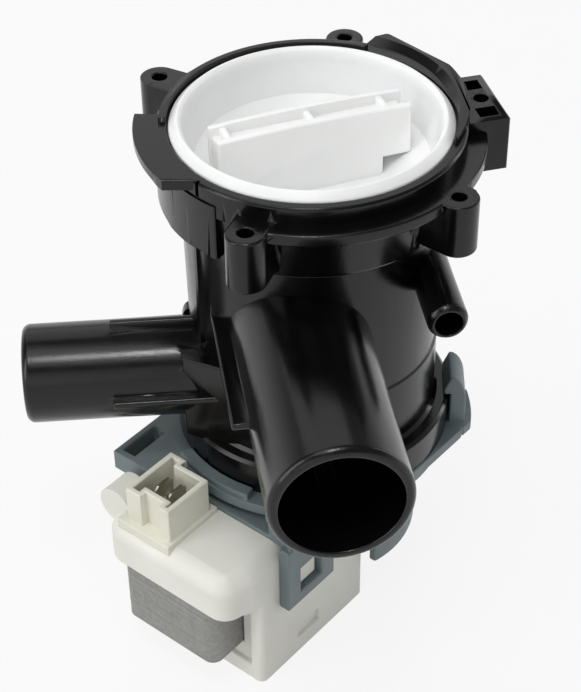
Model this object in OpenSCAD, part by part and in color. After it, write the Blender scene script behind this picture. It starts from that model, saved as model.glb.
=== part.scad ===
// Washing-machine drain pump with a screw-in lint filter.
// The pump axis is Z, the motor stands on z = 0, the water inlet points to -Y.

/* [Heights] */
// Height of the motor, from its foot to the underside of the motor plate
motor_h = 42; // [40:0.5:50]
// Thickness of the motor plate
plate_t = 6; // [5:0.5:9]
// Height of the hook ring at the foot of the trap
ring_h = 9; // [7:0.5:12]
// Height of the trap body, from the hook ring to the neck
body_h = 58; // [56:0.5:70]
// Height of the neck, up to the top of the flange
neck_h = 16; // [15:0.5:24]
// Height of the collar above the flange
collar_h = 4; // [3:0.5:6]
// Height of the filter cap's rim above the collar
cap_rise = 1.5; // [1:0.5:6]

/* [Trap housing] */
// Outside diameter of the trap body below the neck
body_od = 62; // [61:0.5:64]
// Outside diameter of the trap body at its waist, where the pump chamber starts
waist_od = 60.8; // [60:0.2:62]
// Wall thickness of the trap body
wall_t = 2.6; // [2:0.1:3.2]
// Outside diameter of the hook ring
ring_od = 69.2; // [67:0.2:72]
// Outside diameter of the neck at its foot
neck_od = 66.6; // [66:0.2:68]
// Outside diameter of the neck below the flange
neck_top_od = 70; // [67:0.2:70.4]
// Bore of the neck, in which the filter cap turns
neck_bore = 61.2; // [60.8:0.1:62]
// Outside diameter of the collar
collar_od = 71.6; // [70.6:0.2:74]
// Height of the pump chamber above the motor plate
chamber_h = 31; // [30:0.5:36]
// Thickness of the floor between trap and chamber
floor_t = 2; // [1.5:0.1:3]
// Diameter of the eye in that floor
eye_d = 26; // [20:0.5:32]

/* [Inlet] */
// Outside diameter of the water inlet
inlet_od = 32; // [29:0.5:34]
// Bore of the water inlet
inlet_bore = 27; // [20:0.5:27.5]
// Distance of the inlet's mouth from the pump axis
inlet_reach = 82; // [60:1:100]
// Length of the hose seat at the inlet's mouth
inlet_seat = 24; // [15:1:26]
// Sideways offset of the inlet, to +X
inlet_offset = -7; // [-9:0.5:0]
// Height of the inlet's axis above the hook ring
inlet_rise = 35; // [34:0.5:39]

/* [Outlet] */
// Outside diameter of the drain outlet
outlet_od = 24.4; // [22:0.2:25]
// Bore of the drain outlet
outlet_bore = 19.2; // [15:0.2:20]
// Distance of the outlet's end from the pump axis
outlet_reach = 71.5; // [60:0.5:90]
// Length of the hose seat at the outlet's end
outlet_seat = 20; // [15:0.5:24]
// Offset of the outlet's axis towards the inlet side
outlet_offset = 6; // [3:0.5:7]
// Turn of the outlet from the -X direction, in degrees
outlet_turn = 4; // [0:0.5:8]
// Height of the outlet's axis above the hook ring
outlet_rise = 13; // [13:0.5:16]
// Height of the stiffening ribs on the outlet
rib_h = 2.6; // [1:0.1:4]
// Distance of the ribs' ends from the hose seat
rib_gap = 1.5; // [0.5:0.5:6]

/* [Vent] */
// Outside diameter of the vent pipe
vent_od = 9.5; // [8:0.25:10.5]
// Bore of the vent pipe
vent_bore = 6.5; // [4:0.25:6.75]
// Distance of the vent's mouth from the pump axis, along -Y
vent_reach = 40; // [34:1:55]
// Length of the hose seat at the vent's mouth
vent_seat = 14; // [8:1:15]
// Sideways offset of the vent, to +X
vent_offset = 24.5; // [22.5:0.5:24.5]
// Height of the vent's axis above the hook ring
vent_rise = 46.5; // [44:0.5:48]

/* [Flange] */
// Outside diameter of the flange at the front
flange_od = 80.5; // [77:0.5:84]
// Thickness of the flange
flange_t = 3; // [2:0.5:5]
// Radius of the circle on which the screw bosses stand
bolt_r = 41; // [40:0.5:43]
// Outside diameter of a screw boss
boss_od = 9.2; // [8:0.2:11]
// Height of a screw boss
boss_h = 13.5; // [8:0.5:15]
// Diameter of the pilot hole in a screw boss
pilot_d = 3.6; // [2.5:0.1:5]
// Radius of the wing on the outlet side
wing_r = 41; // [39:0.5:46]
// Thickness of the wing
wing_t = 2.6; // [2:0.2:4]

/* [Filter] */
// Diameter of the filter cap's rim
rim_d = 63.5; // [60:0.5:64]
// Diameter of the filter cap's skirt
skirt_d = 65.8; // [64:0.2:66]
// Wall thickness of the filter cap
cap_wall = 1.8; // [1.4:0.1:2.4]
// Depth of the cup inside the filter cap, from its rim to its floor
cup_depth = 18.5; // [17:0.5:19]
// Depth of the cup's wall, below which the cup rounds in to its floor
cup_wall_h = 11; // [9:0.5:12.5]
// Length of the plug below the collar
plug_h = 18; // [16.5:0.5:20]
// Length of the finger grip
grip_l = 47; // [30:1:50]
// Width of the finger grip
grip_w = 8.5; // [6:0.5:10]
// Distance of the grip's ends below the rim
grip_drop = 1; // [0.5:0.5:5]
// Cord diameter of the seal ring
seal_d = 1.8; // [1.4:0.1:2.2]
// Height of the strainer basket below the plug
strainer_h = 30; // [10:0.5:32]
// Number of bars round the strainer basket
strainer_bars = 16; // [8:1:24]

/* [Motor] */
// Turn of the lamination stack about the pump axis, in degrees
motor_turn = 222; // [200:1:240]
// Height of the stack above the foot
core_foot = 10; // [8:0.5:12]
// Height of the lamination stack
core_h = 22; // [18:0.5:23]
// Width of the lamination stack
core_w = 30; // [28:0.5:31]
// Distance of the stack's outer face from the pump axis
core_reach = 58; // [56:0.5:60]
// Width of one leg of the stack
leg_w = 8; // [6:0.5:9]
// Distance of the cover's inner end from the pump axis
cover_near = 7; // [5:0.5:9]
// Distance of the cover's outer end from the pump axis
cover_far = 48.5; // [47:0.5:49.5]
// Width of the motor cover
cover_w = 45; // [43:0.5:48]
// Wall thickness of the motor cover
cover_t = 1.6; // [1:0.1:1.8]
// Distance of the roof's outer edge from the pump axis
roof_reach = 59.5; // [59:0.5:63]
// Height of the roof's rim below the top of the cover
roof_h = 12; // [11:0.5:13]
// Height of the roof above the top of the cover
roof_rise = 0.2; // [0.1:0.1:1]

/* [Rotor] */
// Diameter of the rotor shaft
shaft_d = 4; // [3:0.1:5]
// Diameter of the rotor magnet
magnet_d = 18.4; // [16:0.2:18.8]
// Height of the rotor magnet
magnet_h = 22; // [16:0.5:24]
// Outside diameter of the rotor can
can_od = 22; // [21:0.1:22.5]
// Wall thickness of the rotor can
can_t = 0.8; // [0.6:0.05:1]
// Outside diameter of a bearing bush
bush_od = 9; // [7:0.25:10]
// Length of a bearing bush
bush_h = 6; // [4:0.25:6.5]

/* [Impeller] */
// Diameter of the impeller
impeller_d = 42; // [34:1:52]
// Height of the impeller's blades above its disc
blade_h = 18; // [10:0.5:20]
// Number of blades
blades = 6; // [4:1:8]
// Thickness of a blade
blade_t = 2; // [1.5:0.1:3]

/* [Connector] */
// Length of the connector shell, away from the pump axis
shell_l = 16.6; // [15:0.2:17]
// Width of the connector shell
shell_w = 14.1; // [13.5:0.1:15]
// Height of the connector shell above the roof
shell_h = 11.4; // [9:0.2:16]
// Wall thickness of the connector shell
shell_t = 1.5; // [1:0.1:1.7]
// Width of a terminal blade
blade_w = 6.3; // [4.8:0.1:6.3]

/* [Clearances] */
// Clearance of the filter cap in the neck
turn_gap = 0.4; // [0.3:0.05:0.5]
// Clearance round the seal ring in its groove
seal_gap = 0.3; // [0.2:0.05:0.4]
// Running clearance of the shaft
run_gap = 0.04; // [0.02:0.01:0.1]
// Clearance of pieces that are put together
fit_gap = 0.15; // [0.1:0.05:0.3]
// Clearance round the rotor and the impeller
free_gap = 0.6; // [0.4:0.1:1]

/* [Hidden] */
$fn = 64;
cut = 0.5;
black = [0.10, 0.095, 0.095];
white = [0.93, 0.93, 0.91];
grey = [0.40, 0.44, 0.46];
cream = [0.85, 0.84, 0.77];
steel = [0.58, 0.58, 0.56];
copper = [0.72, 0.42, 0.22];
rubber = [0.14, 0.14, 0.14];

// Levels from the foot up
plate_top = motor_h + plate_t;
ring_top = plate_top + ring_h;
neck_z = ring_top + body_h;
flange_z = neck_z + neck_h;
collar_z = flange_z + collar_h;
rim_z = collar_z + cap_rise;
floor_z = plate_top + chamber_h;
inlet_z = ring_top + inlet_rise;
outlet_z = ring_top + outlet_rise;
vent_z = ring_top + vent_rise;

// Trap housing
shelf_z = flange_z - flange_t;
ring_edge = 0.8;
root_bevel = 0.8;
waist_step = 0.4;
waist_bevel = 0.6;
neck_bevel = 1.5;
weld_z = neck_z - neck_bevel;
collar_edge = 0.5;
sink = 1;
waist_rise = 18;
waist_z = ring_top + waist_rise;
body_ir = min(waist_od, body_od) / 2 - wall_t;
spigot_r = body_ir - 0.2;
gasket_room = 0.5;
spigot_h = 4;
gasket_w = 2.2;
gasket_h = 3;
seat_depth = 1.2;
back_drop = 1.5;
boss_list = [[142.5, collar_z], [240.5, flange_z], [312.5, flange_z],
    [69.5, collar_z - back_drop]];
wing_span = [166, 222];
wing_end = 24.4;
wing_end_turn = -9;
apron_span = [146, 225];
apron_out = 0.4;
apron_h = 14;
slit_a = 216;
slit_w = 0.8;
slit_depth = 1;
slit_z = flange_z + 0.4;
flange_span = [238, 362];
lip_span = [-26, 54];
lip_end = [67, 33];
lip_shift = 6;
lip_turn = 70;
lip_r = 35.2;
lip_wall = 1.8;
lip_ramp = 2.4;
back_wall_span = [58, 172];
back_wall_ledge = 0.2;
back_wall_r = collar_od / 2 - collar_edge - back_wall_ledge;
back_wall_gap = 0.3;
clip_turn = 6;
clip_w = 20;
clip_l = 9.8;
clip_h = 14;
clip_drop = 1;
clip_wall = 2;
clip_inset = 3;
pocket_w = 4;
pocket_depth = 5;
clip_hole = 8;
throat_end = 34;
throat_set = 4;
throat_a = 239.5;
body_rib_a = 202;
body_rib_t = 1.2;
body_rib_foot = 8;
nub_a = 172;
nub_w = 3;
nub_out = 2.1;
nub_rise = 4.4;
fin_out = 3.8;
fin_l = 40;
fin_gap = 3;
fin_t = 1.8;
rib_t = 1.8;
bore_start = 8;
pipe_chamfer = 1.2;
pipe_draft = 0.3;

// Filter
plug_r = neck_bore / 2 - turn_gap;
seat_z = collar_z - seat_depth;
plug_z = collar_z - plug_h;
cup_z = rim_z - cup_depth;
groove_r = neck_bore / 2 - 2 * seal_gap - seal_d;
groove_z = plug_z + 5;
basket_r = min(plug_r - 3.2, body_ir - 0.8);
basket_t = 1.6;
basket_ring = 2.5;
basket_neck = 2;
basket_fit = 0.2;
cup_r = plug_r - cap_wall - 1;
cup_floor_r = 16;
cap_floor = 2;
plug_in = cup_r - 1.2;
skirt_edge = 1;
rim_edge = 0.7;
grip_turn = 11;
grip_wall = 1.7;
grip_crown = 0.7;
grip_back = 1.2;
grip_h = cup_depth - grip_drop;
grip_web = [-0.43, 0, 0.38];
web_drop = 0.3;
groove_drop = 2.2;
groove_end = 0.6;
undercut_l = 7;
undercut_h = 5;

// Motor, in a frame whose X runs along the stack
core_mid = core_foot + core_h / 2;
core_top = core_foot + core_h;
pole_r = can_od / 2 + fit_gap;
pole_back = pole_r + 2;
yoke_t = 9.5;
leg_y = (core_w - leg_w) / 2;
pole_end = pole_r + 3;
pole_slot = 3;
bobbin_t = 1;
coil_t = cover_w / 2 - cover_t - free_gap - core_w / 2 - bobbin_t;
coil_near = pole_end + 1.3;
recess = 1.4;
recess_w = 37.2;
recess_foot = 5;
cavity_far = cover_far - recess - cover_t;
coil_far = cavity_far - 2 * fit_gap;
coil_top = core_top + bobbin_t + coil_t;
cutout_l = 12;
cutout_w = 7;
cutout_inset = 6;
roof_w = 37;
roof_shift = -1;
roof_corner = 6;
shoulder_reach = 55;
shoulder_drop = 1.5;
shoulder_w = (cover_w + roof_w) / 2 - roof_shift;
cover_corner = 2;
lug_t = 0.5;
lug_h = 6;
ear_r = 5;
ear_l = 8;
ear_set = 4.5;
ear_out = 0.8;
ear_rise = 0.6;
slot_near = 26;
slot_z = 5;
slot_l = 8;
slot_h = 4;
roof_z = motor_h - roof_h;
roof_top = motor_h + roof_rise;
shell_end = 3;
shell_x = roof_reach - shell_end - shell_l;
roof_near = shell_x;
shell_y = -13;
plinth_h = 1.4;
plinth_side = [2, 0.9];
plinth_end = 1.8;
key_far = 5.3;
key_near = [5, 10.6];
key_in = 2;
blade_pitch = 4.2;
blade_edge = 1.2;
blade_thick = 0.8;
blade_drop = 2.7;
blade_hole = 1.6;

// Motor plate, with its hooks round the hook ring and its loops on the cover's lugs
plate_r = ring_od / 2 + 4.2;
plate_edge = ring_od / 2 + 0.4;
plate_step = 3;
ledge_t = 1.4;
ledge_gap = 0.3;
pad_r = ring_od / 2 + 6.2;
pad_arc = 22;
step_r = ring_od / 2 - 1;
arm_l = 44.4;
arm_w = 18;
arm_out = 29;
arm_slot = [11, 3.6];
hook_w = 11;
hook_t = 4;
hook_rise = 5.6;
hook_list = [140, 255, 350];
barb = 1.6;
fence_span = [200, 236];
fence_t = 3.6;
fence_h = 1.6;
loop_near = 23.5;
loop_w = 18;
loop_drop = 19;
loop_leg = 5;
loop_bar = 3.4;
loop_t = 3;
loop_window = 8;
tab_w = 8;
skirt_r = 27;
skirt_wall = 2;
skirt_foot = 13;

// Rotor
can_ir = can_od / 2 - can_t;
can_floor = 1.5;
bush_z = can_floor;
magnet_z = bush_z + bush_h + 1.5;
hub_r = 4.6;
washer_t = 1.2;
washer_gap = 0.3;
carrier_h = 8;
lip_seal_h = 1.2;
carrier_z = plate_top + spigot_h - carrier_h;
shaft_foot = bush_z + 0.4;
dog_z = plate_top + spigot_h + free_gap;
dog_r = 7.5;
dog_disc = 2;
dog_wall = 3.4;
dog_h = 5.5;
stop_arc = 30;
dog_gap = 0.4;
hub_z = dog_z + dog_disc + dog_gap;
hub_or = dog_r + 2;
hub_roof = hub_z + dog_h + dog_gap;
hub_top = hub_roof + 3;
disc_t = 2;
clip_ring_w = 2.2;
clip_ring_h = 0.8;
shaft_top = hub_top + 2;

// A plain ring
module ring(r_out, r_in, h) {
    difference() {
        cylinder(r = r_out, h = h);
        translate([0, 0, -cut]) cylinder(r = r_in, h = h + 2 * cut);
    }
}

// A flat wedge between two angles, for trimming round shapes
module wedge(a0, a1, r) {
    steps = ceil((a1 - a0) / 60);
    polygon(concat([[0, 0]],
        [for (i = [0 : steps]) let (a = a0 + (a1 - a0) * i / steps) r * [cos(a), sin(a)]]));
}

// The part of a flat ring between two angles, as a solid
module ring_sector(r_out, r_in, a0, a1, h) {
    linear_extrude(h) intersection() {
        difference() {
            circle(r = r_out);
            circle(r = r_in);
        }
        wedge(a0, a1, 3 * r_out);
    }
}

// A rectangle with round corners, from its corner at the origin
module round_rect(l, w, r) {
    translate([r, 0]) square([l - 2 * r, w]);
    translate([0, r]) square([l, w - 2 * r]);
    for (x = [r, l - r], y = [r, w - r]) translate([x, y]) circle(r = r);
}

module in_motor() { rotate([0, 0, motor_turn]) children(); }

// Pipes start on the pump axis and run out to their mouths
module to_inlet() { translate([inlet_offset, 0, inlet_z]) rotate([90, 0, 0]) children(); }
module to_vent() { translate([vent_offset, 0, vent_z]) rotate([90, 0, 0]) children(); }
module to_outlet() {
    rotate([0, 0, -outlet_turn]) translate([0, -outlet_offset, outlet_z])
        rotate([0, -90, 0]) children();
}

// Outside of a pipe: a drafted root, a straight hose seat and a chamfered end
module pipe_outside(od, reach, seat_l) {
    seat_end = reach - pipe_chamfer;
    cylinder(r1 = od / 2 + pipe_draft, r2 = od / 2, h = reach - seat_l);
    translate([0, 0, reach - seat_l]) cylinder(d = od, h = seat_l - pipe_chamfer);
    translate([0, 0, seat_end])
        cylinder(r1 = od / 2, r2 = od / 2 - 0.8 * pipe_chamfer, h = pipe_chamfer);
}

module at_boss(b) { rotate([0, 0, b[0]]) translate([bolt_r, 0, b[1]]) children(); }

// Outside of the trap up to the weld: hook ring, chamber and body as one turned shape
module trap_outside() {
    r_ring = ring_od / 2;
    r_waist = waist_od / 2;
    r_chamber = r_waist + waist_step;
    rotate_extrude() polygon([[0, plate_top], [r_ring, plate_top], [r_ring, ring_top - ring_edge],
        [r_ring - ring_edge, ring_top], [r_chamber + root_bevel, ring_top],
        [r_chamber, ring_top + root_bevel], [r_chamber, waist_z], [r_waist, waist_z + waist_bevel],
        [body_od / 2, weld_z], [0, weld_z]]);
}

// Outside of the neck, from the weld to the collar
module neck_outside() {
    r_collar = collar_od / 2;
    rotate_extrude() polygon([[0, weld_z], [body_od / 2, weld_z], [neck_od / 2, neck_z],
        [neck_top_od / 2, shelf_z], [r_collar, shelf_z], [r_collar, collar_z - collar_edge],
        [r_collar - collar_edge, collar_z], [0, collar_z]]);
}

// Wall behind the filter cap, as high as the cap's rim
module back_wall() {
    translate([0, 0, collar_z - sink]) ring_sector(back_wall_r, skirt_d / 2 - sink,
        back_wall_span[0], back_wall_span[1], cap_rise + sink - back_wall_gap);
}

// Drip lip on one side of the collar: a round wall set off-centre
module drip_lip() {
    lip_h = rim_z - shelf_z;
    lip_out = lip_r + lip_shift;
    intersection() {
        translate([0, 0, shelf_z]) linear_extrude(lip_h) union() {
            wedge(lip_span[0], lip_span[1], lip_out);
            polygon([[0, 0], lip_out * [cos(lip_span[1]), sin(lip_span[1])],
                lip_end[1] * [cos(lip_end[0]), sin(lip_end[0])]]);
        }
        difference() {
            rotate([0, 0, lip_turn]) translate([lip_shift, 0, shelf_z]) cylinder(r = lip_r, h = lip_h);
            rotate([0, 0, lip_turn]) translate([lip_shift, 0, collar_z])
                cylinder(r1 = lip_r - lip_wall - lip_ramp, r2 = lip_r - lip_wall, h = cap_rise + cut);
            translate([0, 0, collar_z]) cylinder(r = skirt_d / 2 + turn_gap, h = cap_rise + cut);
        }
    }
}

// Clip block with two pockets and a round hole
module clip_block() {
    rotate([0, 0, clip_turn])
        translate([collar_od / 2 - sink, -clip_w / 2, collar_z - clip_drop - clip_h]) difference() {
            cube([clip_l, clip_w, clip_h]);
            for (y = [clip_wall, clip_w - clip_wall - pocket_w])
                translate([clip_inset, y, clip_h - pocket_depth])
                    cube([clip_l - clip_inset - clip_wall, pocket_w, pocket_depth + cut]);
            translate([2 * clip_inset, clip_w / 2, clip_h - clip_hole])
                cylinder(d = pilot_d, h = clip_hole + cut);
        }
}

// Wing on the collar, cut off straight at its front end
module wing() {
    translate([0, 0, collar_z - wing_t]) intersection() {
        ring_sector(wing_r, collar_od / 2 - sink, wing_span[0], wing_span[1], wing_t);
        rotate([0, 0, wing_end_turn]) translate([-2 * wing_r, -wing_end, 0])
            cube([2 * wing_r, 2 * wing_r, wing_t]);
    }
}

module flange_outside() {
    web_l = bolt_r - neck_od / 2 + sink;
    translate([0, 0, shelf_z])
        ring_sector(flange_od / 2, neck_od / 2 - sink, flange_span[0], flange_span[1], flange_t);
    translate([0, 0, flange_z - apron_h]) ring_sector(collar_od / 2 + apron_out, neck_od / 2 - sink,
        apron_span[0], apron_span[1], apron_h);
    wing();
    for (b = boss_list) at_boss(b) translate([0, 0, -boss_h]) {
        cylinder(d = boss_od, h = boss_h);
        translate([-web_l, -boss_od / 2, 0]) cube([web_l, boss_od, boss_h]);
    }
    drip_lip();
    back_wall();
    clip_block();
}

// Ribs along the outlet, every quarter turn
module outlet_ribs() {
    rib_reach = outlet_reach - outlet_seat - rib_gap;
    for (a = [0, 90, 180, 270]) rotate([0, 0, a])
        translate([outlet_od / 2 - sink, -rib_t / 2, 0]) cube([rib_h + sink, rib_t, rib_reach]);
}

// Curved nub beside the outlet's root
module body_nub() {
    nub_h = outlet_od / 2 - nub_rise;
    rotate([0, 0, nub_a]) translate([waist_od / 2, nub_w / 2, outlet_z]) rotate([90, 0, 0])
        linear_extrude(nub_w) polygon([[-sink, 0], [nub_out, 0],
            for (a = [0 : 15 : 90]) [nub_out * cos(a), nub_h + nub_rise * sin(a)],
            [-sink, outlet_od / 2]]);
}

// Flat wall that leads from the round chamber to the outlet
module throat_wall() {
    throat_y = outlet_offset + outlet_od / 2 - throat_set;
    r_throat = waist_od / 2 - waist_step;
    translate([0, 0, ring_top - sink]) linear_extrude(outlet_rise + outlet_od / 2 - sink)
        polygon([[-throat_end, -throat_y], [-throat_end, 0], [0, 0],
            r_throat * [cos(throat_a), sin(throat_a)]]);
}

// A thin rib up the body, and the fin along the inlet
module thin_ribs() {
    rib_foot_z = waist_z + body_rib_foot;
    rotate([0, 0, body_rib_a]) translate([waist_od / 2 - sink, -body_rib_t / 2, rib_foot_z])
        cube([body_rib_t + sink, body_rib_t, weld_z - rib_foot_z]);
    body_nub();
    translate([inlet_offset - inlet_od / 2 - fin_out, fin_gap + inlet_seat - inlet_reach, inlet_z])
        cube([fin_out + sink, fin_l, fin_t]);
}

module trap_housing() {
    color(black) {
        difference() {
            union() {
                trap_outside();
                to_inlet() pipe_outside(inlet_od, inlet_reach, inlet_seat);
                to_outlet() {
                    pipe_outside(outlet_od, outlet_reach, outlet_seat);
                    outlet_ribs();
                }
                to_vent() pipe_outside(vent_od, vent_reach, vent_seat);
                throat_wall();
                thin_ribs();
            }
            translate([0, 0, plate_top - cut]) cylinder(r = body_ir, h = chamber_h + cut);
            translate([0, 0, plate_top - cut])
                cylinder(r = spigot_r + gasket_w, h = gasket_h + gasket_room + cut);
            translate([0, 0, floor_z]) cylinder(r = body_ir, h = neck_z - floor_z);
            to_inlet() translate([0, 0, body_ir - bore_start])
                cylinder(d = inlet_bore, h = inlet_reach);
            to_outlet() translate([0, 0, body_ir - bore_start])
                cylinder(d = outlet_bore, h = outlet_reach);
            to_vent() translate([0, 0, bore_start]) cylinder(d = vent_bore, h = vent_reach);
        }
        translate([0, 0, floor_z]) ring(body_ir + cut, eye_d / 2, floor_t);
    }
}

// Neck with the flange, welded on the trap: it holds the filter cap and the screw bosses
module trap_neck() {
    color(black) difference() {
        union() {
            neck_outside();
            flange_outside();
        }
        translate([0, 0, weld_z - cut]) cylinder(r = body_ir, h = neck_h);
        translate([0, 0, neck_z - sink]) cylinder(r = neck_bore / 2, h = rim_z);
        translate([0, 0, seat_z]) cylinder(r = skirt_d / 2 + turn_gap, h = rim_z);
        rotate([0, 0, slit_a]) translate([collar_od / 2 - slit_depth, -slit_w / 2, slit_z])
            cube([slit_depth + sink, slit_w, collar_h]);
        for (b = boss_list) at_boss(b)
            translate([0, 0, -boss_h - cut]) cylinder(d = pilot_d, h = boss_h + 2 * cut);
    }
}

// Filter cap: a cup with a dished floor, a skirt on the collar and a plug in the neck
module cap_shell() {
    r_rim = rim_d / 2;
    bowl_z = rim_z - cup_wall_h;
    groove_half = seal_d / 2 + seal_gap;
    rotate_extrude() polygon([[0, cup_z - cap_floor], [cup_floor_r, cup_z - cap_floor],
        [plug_in, bowl_z - 2 * cap_floor], [plug_in, plug_z], [plug_r, plug_z],
        [plug_r, groove_z - groove_half], [groove_r, groove_z - groove_half],
        [groove_r, groove_z + groove_half], [plug_r, groove_z + groove_half], [plug_r, seat_z],
        [skirt_d / 2, seat_z], [skirt_d / 2, seat_z + skirt_edge], [r_rim, rim_z - rim_edge],
        [r_rim - rim_edge, rim_z], [r_rim - cap_wall + rim_edge, rim_z],
        [r_rim - cap_wall, rim_z - rim_edge], [cup_r, bowl_z], [cup_floor_r, cup_z], [0, cup_z]]);
}

// One wall of the finger grip, seen from its side: crowned on top, undercut at both ends
module grip_side() {
    half = grip_l / 2;
    crown_r = (half * half + grip_crown * grip_crown) / (2 * grip_crown);
    intersection() {
        polygon([[-half, undercut_h], [-half, cup_depth], [half, cup_depth], [half, undercut_h],
            [half - undercut_l, undercut_h], [half - undercut_l, -sink],
            [-half + undercut_l, -sink], [-half + undercut_l, undercut_h]]);
        translate([0, grip_h + grip_crown - crown_r]) circle(r = crown_r, $fn = 180);
    }
}

// Finger grip: two crowned walls with a shallow groove between them, and cross webs in the groove
module finger_grip() {
    rotate([0, 0, grip_turn]) translate([0, grip_back, cup_z]) {
        for (y = [-grip_w / 2, grip_w / 2 - grip_wall]) translate([0, y + grip_wall, 0])
            rotate([90, 0, 0]) linear_extrude(grip_wall) grip_side();
        for (x = grip_web) translate([x * grip_l - grip_wall / 2, -grip_w / 2 + cut, undercut_h])
            cube([grip_wall, grip_w - 2 * cut, grip_h - undercut_h - web_drop]);
        translate([-grip_l / 2 + groove_end, -grip_w / 2 + cut, undercut_h])
            cube([grip_l - 2 * groove_end, grip_w - 2 * cut, grip_h - undercut_h - groove_drop]);
        translate([-grip_l / 2 + undercut_l, -grip_w / 2 + cut, -sink])
            cube([grip_l - 2 * undercut_l, grip_w - 2 * cut, undercut_h + sink]);
    }
}

module filter_cap() {
    color(white) {
        cap_shell();
        finger_grip();
    }
}

module filter_seal() {
    color(rubber) translate([0, 0, groove_z]) rotate_extrude()
        translate([groove_r + seal_gap + seal_d / 2, 0]) circle(d = seal_d, $fn = 32);
}

module lint_strainer() {
    low_z = plug_z - strainer_h;
    neck_r = plug_in - basket_fit;
    color(white) {
        translate([0, 0, plug_z - basket_ring])
            ring(max(basket_r, neck_r), min(basket_r, neck_r) - basket_t, basket_ring);
        translate([0, 0, plug_z - cut]) ring(neck_r, neck_r - basket_t, basket_neck + cut);
        translate([0, 0, low_z]) ring(basket_r, basket_r - basket_ring, basket_ring);
        for (i = [0 : strainer_bars - 1]) rotate([0, 0, 360 * i / strainer_bars])
            translate([basket_r - basket_t - basket_fit, -basket_t / 2, low_z + cut])
                cube([basket_t, basket_t, strainer_h - 2 * cut]);
        for (a = [0, 90]) rotate([0, 0, a])
            translate([-basket_r + sink, -basket_t / 2, low_z])
                cube([2 * (basket_r - sink), basket_t, basket_ring]);
    }
}

module housing_gasket() {
    color(rubber) translate([0, 0, plate_top]) ring(spigot_r + gasket_w, spigot_r, gasket_h);
}

// One hook of the motor plate: a curved tooth that grips the hook ring from outside
module hook() {
    hook_in = ring_od / 2 + fit_gap;
    hook_out = hook_in + hook_t;
    barb_z = ring_top + fit_gap;
    tip_z = ring_top + hook_rise;
    rotate([90, 0, 0]) translate([0, 0, -hook_w / 2]) linear_extrude(hook_w)
        polygon([[hook_in, motor_h + plate_step], [hook_out, motor_h + plate_step],
            [hook_out, ring_top - barb],
            for (a = [15 : 15 : 75]) [hook_in + hook_t * cos(a),
                ring_top - barb + (tip_z - ring_top + barb) * sin(a)],
            [hook_in, tip_z], [hook_in - barb, barb_z + barb], [hook_in - barb, barb_z],
            [hook_in, barb_z]]);
}

// The round of the motor plate, flat on one side, in the motor's frame
module plate_round(r) {
    intersection() {
        circle(r = r);
        translate([-2 * plate_r, plate_edge - 4 * plate_r]) square(4 * plate_r);
    }
}

// The arm behind the connector and the tab that carries a snap loop
module plate_arms() {
    translate([0, -arm_out]) square([arm_l, arm_w]);
    translate([loop_near - sink, cover_w / 2 + fit_gap + loop_t - tab_w])
        square([roof_near - ledge_gap - loop_near + sink, tab_w]);
}

// Ledge of the motor plate on the top of the cover, up to the roof
module plate_ledge() {
    translate([0, arm_w - arm_out])
        square([roof_near - ledge_gap, cover_w / 2 + fit_gap + loop_t + arm_out - arm_w]);
}

// Room that the plate leaves for the roof, its ear and the connector
module roof_room() {
    gap = 2 * fit_gap;
    translate([roof_near - gap, roof_shift - roof_w / 2 - gap, motor_h - cut])
        cube([roof_reach, roof_w + 2 * gap, roof_rise + gap + cut]);
    translate([shell_x - gap, shell_y - plinth_side[0] - gap, motor_h - cut])
        cube([roof_reach, shell_w + plinth_side[0] + plinth_side[1] + 2 * gap, shell_h]);
}

// Snap loop that catches a lug on the motor cover
module snap_loop() {
    translate([loop_near, cover_w / 2 + fit_gap, motor_h - loop_drop]) difference() {
        cube([loop_w, loop_t, loop_drop + sink]);
        translate([loop_leg, -cut, loop_bar])
            cube([loop_w - 2 * loop_leg, loop_t + 2 * cut, loop_window]);
    }
}

// Skirt round the back of the rotor can, open towards the motor cover
module can_skirt() {
    difference() {
        translate([0, 0, skirt_foot])
            ring(skirt_r, skirt_r - skirt_wall, motor_h - skirt_foot + cut);
        in_motor() translate([cover_near - fit_gap, -cover_w, 0])
            cube([2 * skirt_r, 2 * cover_w, motor_h]);
    }
}

module bayonet_plate() {
    color(grey) difference() {
        union() {
            in_motor() {
                translate([0, 0, motor_h + plate_step]) linear_extrude(plate_t - plate_step)
                    plate_round(plate_r);
                translate([0, 0, motor_h]) linear_extrude(plate_t) {
                    plate_round(step_r);
                    plate_arms();
                }
                translate([0, 0, motor_h]) linear_extrude(ledge_t) plate_ledge();
                translate([0, 0, motor_h + plate_step]) linear_extrude(plate_t - plate_step)
                    intersection() {
                        for (a = hook_list) wedge(a - motor_turn - pad_arc / 2,
                            a - motor_turn + pad_arc / 2, 2 * plate_r);
                        plate_round(pad_r);
                    }
                for (side = [0, 1]) mirror([0, side, 0]) snap_loop();
            }
            translate([0, 0, plate_top - cut]) cylinder(r = spigot_r, h = spigot_h + cut);
            for (a = hook_list) rotate([0, 0, a]) hook();
            translate([0, 0, plate_top - cut]) ring_sector(ring_od / 2 + fence_t,
                ring_od / 2 + fit_gap, fence_span[0], fence_span[1], fence_h + cut);
            can_skirt();
            cylinder(d = can_od, h = motor_h + cut);
        }
        translate([0, 0, bush_z]) cylinder(r = can_ir, h = 2 * plate_top);
        in_motor() translate([arm_l - arm_slot[0] - skirt_wall, skirt_wall - arm_out, motor_h - cut])
            cube([arm_slot[0], arm_slot[1], plate_t + 2 * cut]);
        in_motor() roof_room();
    }
}

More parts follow.
